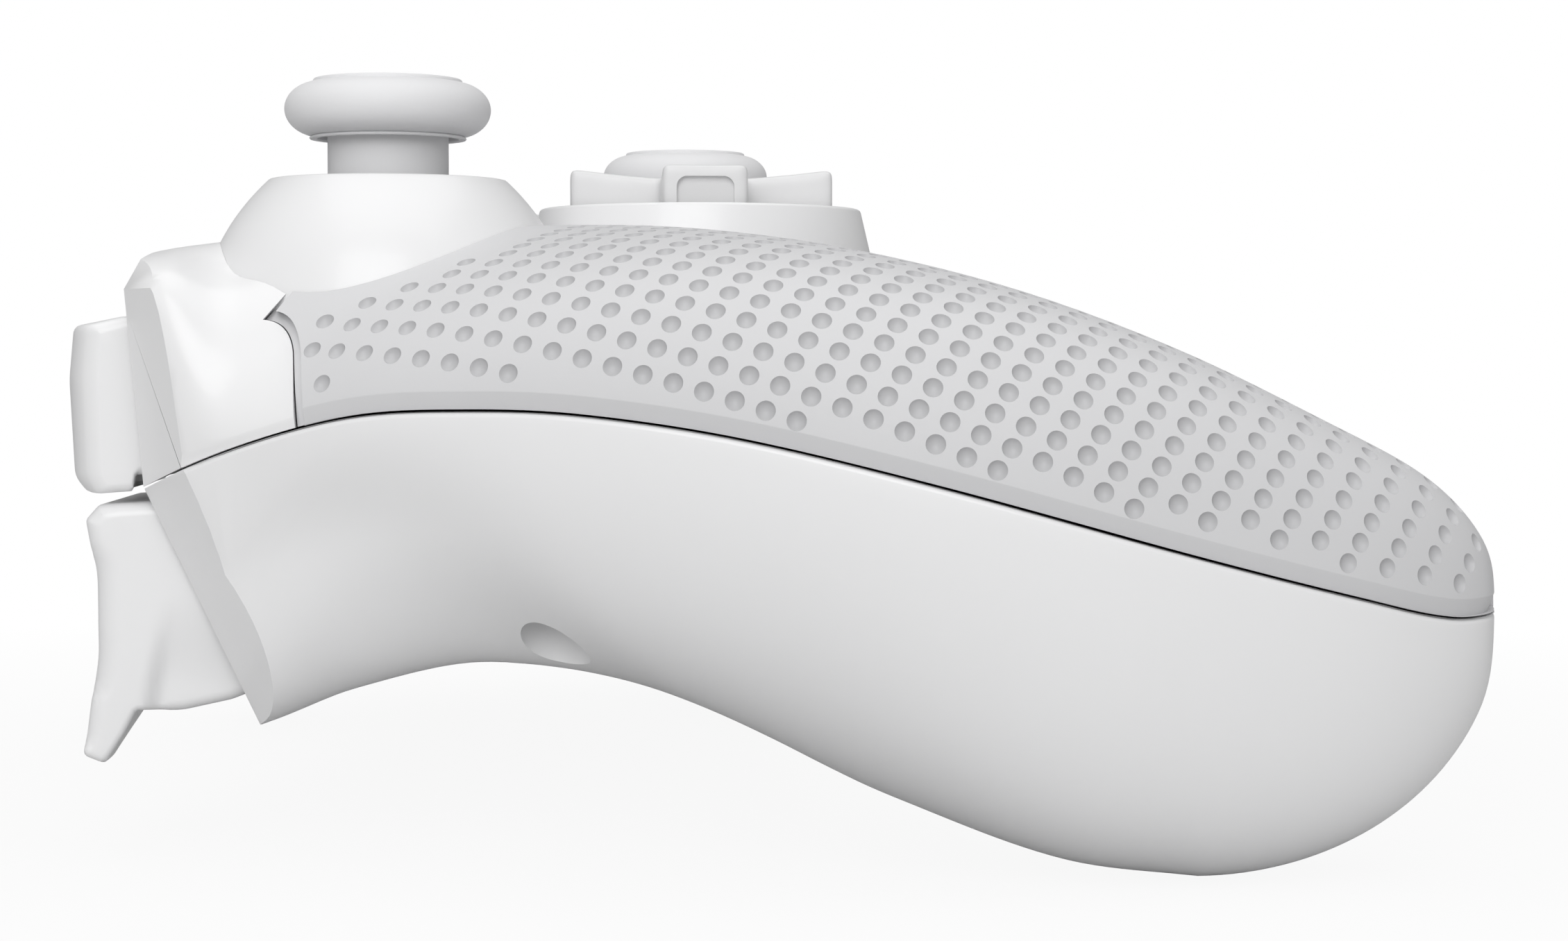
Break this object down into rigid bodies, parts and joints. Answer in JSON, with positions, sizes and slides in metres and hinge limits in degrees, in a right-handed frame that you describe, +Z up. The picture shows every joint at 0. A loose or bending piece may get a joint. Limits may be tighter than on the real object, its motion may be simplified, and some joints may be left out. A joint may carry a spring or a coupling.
{
  "type": "gamepad controller",
  "caption": "Two-handed gamepad with dimpled grips, offset thumbsticks, a direction pad, domed face buttons, bumpers and analogue triggers.",
  "frame": {"origin": "under the middle of the controller's outline, level with the bottoms of its grips", "axes": "+X to the player's right, +Y towards the triggers, +Z up out of the face deck"},
  "size_m": [0.152, 0.1111, 0.0618],
  "materials": {
    "shell_white": "fine matte",
    "gloss_white": "satin to glossy",
    "stick_white": "soft matte",
    "inner_plastic": "moulded black",
    "board_green": "lacquered",
    "cell_wrap": "plastic wrap",
    "pad_rubber": "matte",
    "steel": "plain"
  },
  "bodies": {
    "body": {"top_shell": "shell_white", "front_bezel": "gloss_white", "bottom_shell": "gloss_white", "chassis": "inner_plastic", "main_board": "board_green", "battery_pack": "cell_wrap", "usb_port": "steel", "headset_jack": "inner_plastic", "left_stick_collar": "gloss_white", "right_stick_plinth": "gloss_white", "dpad_plinth": "gloss_white", "face_button_plinth": "gloss_white", "dpad_pad": "pad_rubber", "face_pads": "pad_rubber", "menu_pads": "pad_rubber", "left_stick_housing": "inner_plastic", "right_stick_housing": "inner_plastic", "trigger_pins": "steel", "bumper_pins": "steel", "trigger_springs": "steel", "motors": "steel", "screws": "steel"},
    "left_stick_cradle": {"left_stick_cradle": "steel"},
    "left_stick_yoke": {"left_stick_yoke": "steel"},
    "left_stick": {"left_stick": "stick_white"},
    "right_stick_cradle": {"right_stick_cradle": "steel"},
    "right_stick_yoke": {"right_stick_yoke": "steel"},
    "right_stick": {"right_stick": "stick_white"},
    "dpad_rocker": {"dpad_rocker": "inner_plastic"},
    "dpad": {"dpad": "gloss_white"},
    "face_button_right": {"face_button_right": "gloss_white"},
    "face_button_front": {"face_button_front": "gloss_white"},
    "face_button_left": {"face_button_left": "gloss_white"},
    "face_button_rear": {"face_button_rear": "gloss_white"},
    "home_button": {"home_button": "gloss_white"},
    "left_menu_button": {"left_menu_button": "gloss_white"},
    "right_menu_button": {"right_menu_button": "gloss_white"},
    "left_bumper": {"left_bumper": "gloss_white"},
    "right_bumper": {"right_bumper": "gloss_white"},
    "left_trigger": {"left_trigger": "gloss_white"},
    "right_trigger": {"right_trigger": "gloss_white"},
    "left_rumble_weight": {"left_rumble_weight": "steel"},
    "right_rumble_weight": {"right_rumble_weight": "steel"}
  },
  "joints": [
    {"name": "left_stick_click", "type": "slide", "parent": "body", "child": "left_stick_cradle", "axis": [0, 0, -1], "range_m": [0, 0.0006], "stiffness_N_per_m": 4000, "springref_m": -0.0002},
    {"name": "left_stick_pitch", "type": "hinge", "parent": "left_stick_cradle", "child": "left_stick_yoke", "pos_m": [-0.039, 0.0297, 0.04], "axis": [1, 0, 0], "range_deg": [-11, 11], "stiffness_Nm_per_rad": 0.05},
    {"name": "left_stick_roll", "type": "hinge", "parent": "left_stick_yoke", "child": "left_stick", "pos_m": [-0.039, 0.0297, 0.04], "axis": [0, 1, 0], "range_deg": [-11, 11], "stiffness_Nm_per_rad": 0.05},
    {"name": "right_stick_click", "type": "slide", "parent": "body", "child": "right_stick_cradle", "axis": [0, 0, -1], "range_m": [0, 0.0006], "stiffness_N_per_m": 4000, "springref_m": -0.0002},
    {"name": "right_stick_pitch", "type": "hinge", "parent": "right_stick_cradle", "child": "right_stick_yoke", "pos_m": [0.02, 0.0035, 0.0386], "axis": [1, 0, 0], "range_deg": [-11, 11], "stiffness_Nm_per_rad": 0.05},
    {"name": "right_stick_roll", "type": "hinge", "parent": "right_stick_yoke", "child": "right_stick", "pos_m": [0.02, 0.0035, 0.0386], "axis": [0, 1, 0], "range_deg": [-11, 11], "stiffness_Nm_per_rad": 0.05},
    {"name": "dpad_pitch", "type": "hinge", "parent": "body", "child": "dpad_rocker", "pos_m": [-0.02, 0.0035, 0.0474], "axis": [1, 0, 0], "range_deg": [-5, 5], "stiffness_Nm_per_rad": 0.06},
    {"name": "dpad_roll", "type": "hinge", "parent": "dpad_rocker", "child": "dpad", "pos_m": [-0.02, 0.0035, 0.0474], "axis": [0, 1, 0], "range_deg": [-5, 5], "stiffness_Nm_per_rad": 0.06},
    {"name": "face_right_press", "type": "slide", "parent": "body", "child": "face_button_right", "axis": [0, 0, -1], "range_m": [0, 0.0015], "stiffness_N_per_m": 300, "springref_m": -0.001},
    {"name": "face_front_press", "type": "slide", "parent": "body", "child": "face_button_front", "axis": [0, 0, -1], "range_m": [0, 0.0015], "stiffness_N_per_m": 300, "springref_m": -0.001},
    {"name": "face_left_press", "type": "slide", "parent": "body", "child": "face_button_left", "axis": [0, 0, -1], "range_m": [0, 0.0015], "stiffness_N_per_m": 300, "springref_m": -0.001},
    {"name": "face_rear_press", "type": "slide", "parent": "body", "child": "face_button_rear", "axis": [0, 0, -1], "range_m": [0, 0.0015], "stiffness_N_per_m": 300, "springref_m": -0.001},
    {"name": "home_button_press", "type": "slide", "parent": "body", "child": "home_button", "axis": [0, 0, -1], "range_m": [0, 0.0006], "stiffness_N_per_m": 800, "springref_m": -0.0005},
    {"name": "left_menu_button_press", "type": "slide", "parent": "body", "child": "left_menu_button", "axis": [0, 0, -1], "range_m": [0, 0.0006], "stiffness_N_per_m": 800, "springref_m": -0.0005},
    {"name": "right_menu_button_press", "type": "slide", "parent": "body", "child": "right_menu_button", "axis": [0, 0, -1], "range_m": [0, 0.0006], "stiffness_N_per_m": 800, "springref_m": -0.0005},
    {"name": "left_bumper_press", "type": "hinge", "parent": "body", "child": "left_bumper", "pos_m": [-0.0235, 0.043, 0.036], "axis": [0, 0, 1], "range_deg": [0, 3], "stiffness_Nm_per_rad": 0.3, "springref_deg": -2.86},
    {"name": "right_bumper_press", "type": "hinge", "parent": "body", "child": "right_bumper", "pos_m": [0.0235, 0.043, 0.036], "axis": [0, 0, -1], "range_deg": [0, 3], "stiffness_Nm_per_rad": 0.3, "springref_deg": -2.86},
    {"name": "left_trigger_pull", "type": "hinge", "parent": "body", "child": "left_trigger", "pos_m": [-0.0365, 0.0395, 0.025], "axis": [-1, 0, 0], "range_deg": [0, 14], "stiffness_Nm_per_rad": 0.1, "springref_deg": -17.19},
    {"name": "right_trigger_pull", "type": "hinge", "parent": "body", "child": "right_trigger", "pos_m": [0.0365, 0.0395, 0.025], "axis": [-1, 0, 0], "range_deg": [0, 14], "stiffness_Nm_per_rad": 0.1, "springref_deg": -17.19},
    {"name": "left_rumble_spin", "type": "hinge", "parent": "body", "child": "left_rumble_weight", "pos_m": [-0.058, -0.03, 0.0185], "axis": [0, 1, 0], "continuous": true},
    {"name": "right_rumble_spin", "type": "hinge", "parent": "body", "child": "right_rumble_weight", "pos_m": [0.058, -0.03, 0.0185], "axis": [0, 1, 0], "continuous": true}
  ]
}
